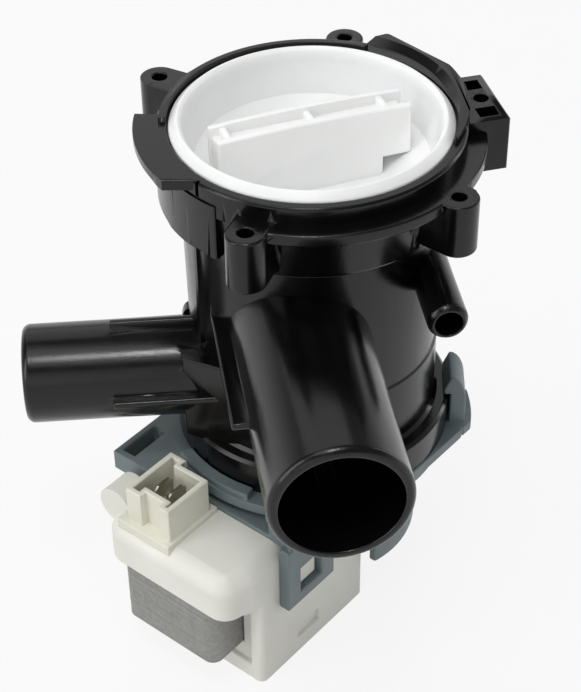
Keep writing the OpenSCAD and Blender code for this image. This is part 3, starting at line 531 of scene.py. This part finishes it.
# Motor cover: a white plastic box over the coils, snapped into the loops of the motor plate. Its roof
# reaches out over the stack, with softly rounded edges, and carries the connector.
COVER_EDGE = 1.2 * MM
ROOF_TOP = 42.2 * MM
ROOF_STEP = 0.3 * MM
ROOF_RADIUS = 5.0 * MM
ROOF_SPARE = 0.05 * MM
ROOF_BENDS = ((6.0, (53.5, -13.5), -90, 0), (5.2, (54.3, 16.3), 0, 75), (5.2, (50.2, 17.3), 75, 90))
BEND_STEPS = 8
ROOF_BACK, ROOF_LEFT, ROOF_RIGHT = 30.0, -19.5, 22.5
EAR_END = 55.0
ARM_SIDE = 36.0
LOBE_FOOT = 30.0 * MM
FORMER_FOOT = 20 * MM
WASTE_FOOT = LOBE_FOOT - 2 * MM
WASTE_NEAR = ((EAR_END * MM, ROOF_LEFT * 2 * MM), (ARM_SIDE * MM, 5 * MM))
WASTE_FAR = (80 * MM, 40 * MM, ROOF_TOP + MM)
QUARTER_TURN = 90
MOTOR_TURN = Matrix.Rotation(math.radians(222), 4, "Z")


def ringed(rings):
    """A closed mesh through rings of points in the motor's own frame, each as long as the first."""
    shape = bmesh.new()
    rows = [[shape.verts.new(MOTOR_TURN @ Vector(point)) for point in ring] for ring in rings]
    for low, high in zip(rows, rows[1:]):
        for i in range(len(low)):
            shape.faces.new((low[i - 1], low[i], high[i], high[i - 1]))
    shape.faces.new(rows[0])
    shape.faces.new(rows[-1])
    bmesh.ops.recalc_face_normals(shape, faces=shape.faces)
    return shape


def block_between(low, high):
    """A box between two corners in the motor's own frame."""
    outline = ((low[0], low[1]), (high[0], low[1]), (high[0], high[1]), (low[0], high[1]))
    return ringed([[(u, v, z) for u, v in outline] for z in (low[2], high[2])])


def combined(shape, other, operation):
    """Changes a shape by another one, which is used up."""
    meshes = [bpy.data.meshes.new("shape"), bpy.data.meshes.new("tool")]
    things = [bpy.data.objects.new(mesh.name, mesh) for mesh in meshes]
    for source, mesh, thing in zip((shape, other), meshes, things):
        source.to_mesh(mesh)
        bpy.context.scene.collection.objects.link(thing)
    other.free()
    step = things[0].modifiers.new("step", "BOOLEAN")
    step.operation = operation
    step.solver = "EXACT"
    step.object = things[1]
    graph = bpy.context.evaluated_depsgraph_get()
    meshes.append(bpy.data.meshes.new_from_object(things[0].evaluated_get(graph)))
    shape.clear()
    shape.from_mesh(meshes[-1])
    bmesh.ops.remove_doubles(shape, verts=shape.verts, dist=WELD)
    for mesh in meshes:
        bpy.data.meshes.remove(mesh)


def roof_ring(z, inset):
    """The roof's outline from its front to its side, drawn in by an inset.

    Each of its bends has a radius, a centre and the angles where it starts and ends.
    """
    outline = [(ROOF_BACK * MM, ROOF_LEFT * MM + inset, z)]
    for radius, (u, v), first, last in ROOF_BENDS:
        for i in range(BEND_STEPS + 1):
            turn = math.radians(first + (last - first) * i / BEND_STEPS)
            reach = radius * MM - inset
            outline.append((u * MM + reach * math.cos(turn), v * MM + reach * math.sin(turn), z))
    return outline + [(ROOF_BACK * MM, ROOF_RIGHT * MM - inset, z)]


def rounded_roof(shape):
    """Fills the corner between the roof's lobe and shoulder, and rounds the roof's edges widely."""
    combined(shape, ringed([roof_ring(z, -ROOF_SPARE) for z in (LOBE_FOOT, ROOF_TOP)]), "UNION")
    former = [(FORMER_FOOT, 0)]
    for i in range(BEND_STEPS + 1):
        turn = math.radians(QUARTER_TURN * i / BEND_STEPS)
        drop = ROOF_RADIUS * (1 - math.sin(turn))
        former.append((ROOF_TOP + ROOF_SPARE - drop, ROOF_RADIUS * (1 - math.cos(turn))))
    for near in WASTE_NEAR:
        waste = block_between((*near, WASTE_FOOT), WASTE_FAR)
        combined(waste, ringed([roof_ring(z, inset) for z, inset in former]), "DIFFERENCE")
        combined(shape, waste, "DIFFERENCE")


cover_white = moulded_plastic("cover white", dark=(0.74, 0.735, 0.675), light=(0.80, 0.80, 0.745),
                              rough=(0.45, 0.58))
cover = softened("motor_cover", COVER_EDGE,
                 levels=[(ROOF_TOP - ROOF_STEP, ROOF_TOP, ROOF_TOP)], joined=rounded_roof)
put_in(cover, "motor_cover", "pump", cover_white)

# Connector: a keyed shell in cream plastic with two tinned blades, on the roof of the cover.
# The shell and its plinth are one moulding, and the blades are pressed into its floor.
SHELL_EDGE = 0.4 * MM
BLADE_EDGE = 0.15 * MM
PLINTH_SUNK = 1.5 * MM
connector_cream = moulded_plastic("connector cream", dark=(0.70, 0.69, 0.59), light=(0.77, 0.76, 0.66),
                                  rough=(0.42, 0.54))
blade_tin = bare_metal("blade tin", dark=(0.42, 0.40, 0.33), light=(0.56, 0.54, 0.46), tone=(600,),
                       rough=(0.30, 0.44), polish=(1300,))
shell = softened("connector_shell", SHELL_EDGE,
                 levels=[(0, ROOF_TOP + ROOF_STEP, ROOF_TOP - PLINTH_SUNK)])
put_in(shell, "connector_shell", "pump", connector_cream)
blades = softened("terminal_blades", BLADE_EDGE)
put_in(blades, "terminal_blades", "pump", blade_tin)

# Filter insert: a white cap with a finger grip, screwed into the neck, with its strainer basket below
# and a rubber ring round its plug.
CAP_EDGE = 1.0 * MM
UNDERCUT = 123.2 * MM
STRAINER_EDGE = 0.3 * MM
SEAL_EDGE = 0.2 * MM
CAP_DEPTH = 2.5 * MM
CAP_SHARE = 0.5
CAP_TINTS = (1.0, 0.95, 0.85)
cap_white = moulded_plastic("cap white", dark=(0.85, 0.855, 0.85), light=(0.89, 0.895, 0.89),
                            rough=(0.28, 0.36))
shader = cap_white.node_tree.nodes["Principled BSDF"]
shader.inputs["Subsurface Weight"].default_value = CAP_SHARE
shader.inputs["Subsurface Scale"].default_value = CAP_DEPTH
shader.inputs["Subsurface Radius"].default_value = CAP_TINTS
cap = softened("filter_cap", CAP_EDGE,
               wish=lambda point: CAP_EDGE if point.z > UNDERCUT else 0)
put_in(cap, "filter_cap", "filter_insert", cap_white)
strainer = softened("lint_strainer", STRAINER_EDGE)
put_in(strainer, "lint_strainer", "filter_insert", cap_white)
seal = softened("filter_seal", SEAL_EDGE)
put_in(seal, "filter_seal", "filter_ring", rubber_black)

# Stage: a white floor that goes on to the horizon, soft light from above and from both sides, and one
# small lamp overhead for the glints. To the eye and in reflections the room is white at the horizon and
# dimmer overhead.
FLOOR_REACH = 3.0
FLOOR_COLOUR = (0.72, 0.72, 0.715, 1)
FLOOR_ROUGH = 0.7
FLOOR_GLOW = 0.86
ROOM_LEVEL = 0.47
DIM_HEIGHT = 0.5
DIM_LEVEL = 0.22
MIDDLE = (0, 0, 0.07)
LAMPS = (("back light", (-0.1, 0.75, 0.75), 0.9, 0.7, 1.4),
         ("top light", (-0.2, -0.2, 1.0), 0.8, 0.6, 2.3),
         ("left light", (-0.9, -0.25, 0.5), 0.4, 0.8, 2.9),
         ("right light", (0.9, 0.3, 0.4), 0.1, 0.8, 0.9),
         ("front light", (-0.6, -1.2, 0.7), 1.0, 0.7, 1.7),
         ("small lamp", (-0.08, -0.3, 0.9), 0.12, 0.12, 1.1))
floor_mesh = bpy.data.meshes.new("floor")
floor_mesh.from_pydata([(-FLOOR_REACH, -FLOOR_REACH, 0), (FLOOR_REACH, -FLOOR_REACH, 0),
                        (FLOOR_REACH, FLOOR_REACH, 0), (-FLOOR_REACH, FLOOR_REACH, 0)], [], [(0, 1, 2, 3)])
floor = bpy.data.objects.new("floor", floor_mesh)
bpy.context.scene.collection.objects.link(floor)
floor_white = bpy.data.materials.new("floor white")
tree, shader = tree_of(floor_white)
shader.inputs["Base Color"].default_value = FLOOR_COLOUR
shader.inputs["Roughness"].default_value = FLOOR_ROUGH


def white_to_the_eye(tree):
    """1 on the rays that see the background: straight, in a mirror or through glass. Else 0."""
    path = tree.nodes.new("ShaderNodeLightPath")
    value = path.outputs["Is Camera Ray"]
    for ray in ("Is Glossy Ray", "Is Transmission Ray"):
        either = tree.nodes.new("ShaderNodeMath")
        either.operation = "MAXIMUM"
        tree.links.new(value, either.inputs[0])
        tree.links.new(path.outputs[ray], either.inputs[1])
        value = either.outputs["Value"]
    return value


shine = tree.nodes.new("ShaderNodeEmission")
share = tree.nodes.new("ShaderNodeMath")
share.operation = "MULTIPLY"
share.inputs[1].default_value = FLOOR_GLOW
blend = tree.nodes.new("ShaderNodeMixShader")
tree.links.new(white_to_the_eye(tree), share.inputs[0])
tree.links.new(share.outputs["Value"], blend.inputs["Fac"])
tree.links.new(shader.outputs["BSDF"], blend.inputs[1])
tree.links.new(shine.outputs["Emission"], blend.inputs[2])
tree.links.new(blend.outputs["Shader"], tree.nodes["Material Output"].inputs["Surface"])
floor_mesh.materials.append(floor_white)
for name, place, width, height, power in LAMPS:
    lamp = bpy.data.lights.new(name, "AREA")
    lamp.shape = "RECTANGLE"
    lamp.size, lamp.size_y, lamp.energy = width, height, power
    light = bpy.data.objects.new(name, lamp)
    bpy.context.scene.collection.objects.link(light)
    light.location = place
    light.rotation_euler = (Vector(MIDDLE) - Vector(place)).to_track_quat("-Z", "Y").to_euler()
world = bpy.data.worlds.new("studio")
bpy.context.scene.world = world
world.use_nodes = True
tree = world.node_tree
back = tree.nodes["Background"]
back.inputs["Color"].default_value = (1, 1, 1, 1)
aim = tree.nodes.new("ShaderNodeTexCoord")
height = tree.nodes.new("ShaderNodeSeparateXYZ")
dim = tree.nodes.new("ShaderNodeMapRange")
dim.inputs["From Max"].default_value = DIM_HEIGHT
dim.inputs["To Min"].default_value = 1.0
dim.inputs["To Max"].default_value = DIM_LEVEL
level = tree.nodes.new("ShaderNodeMix")
level.inputs["A"].default_value = ROOM_LEVEL
tree.links.new(aim.outputs["Generated"], height.inputs["Vector"])
tree.links.new(height.outputs["Z"], dim.inputs["Value"])
tree.links.new(white_to_the_eye(tree), level.inputs["Factor"])
tree.links.new(dim.outputs["Result"], level.inputs["B"])
tree.links.new(level.outputs["Result"], back.inputs["Strength"])

# Camera: worked out from the photograph, a long lens from the front and above, turned by under a degree.
# Its place is in millimetres from the pump's foot on the pump axis.
EYE = Vector((-55.6, -346.4, 354.8)) * MM
AHEAD = Vector((0.1105, 0.7667, -0.6324)).normalized()
LENS_PIXELS, IMAGE_HEIGHT, SENSOR = 1800, 692, 36
ROLL = math.radians(-0.8)
level_right = AHEAD.cross(Vector((0, 0, 1))).normalized()
level_up = level_right.cross(AHEAD)
right = math.cos(ROLL) * level_right + math.sin(ROLL) * level_up
up = math.cos(ROLL) * level_up - math.sin(ROLL) * level_right
lens = bpy.data.cameras.new("camera")
lens.sensor_fit = "VERTICAL"
lens.sensor_height = SENSOR
lens.lens = LENS_PIXELS / IMAGE_HEIGHT * SENSOR
camera = bpy.data.objects.new("camera", lens)
bpy.context.scene.collection.objects.link(camera)
camera.matrix_world = Matrix.Translation(EYE) @ Matrix((right, up, -AHEAD)).transposed().to_4x4()
bpy.context.scene.camera = camera
bpy.context.scene.view_settings.view_transform = "Standard"
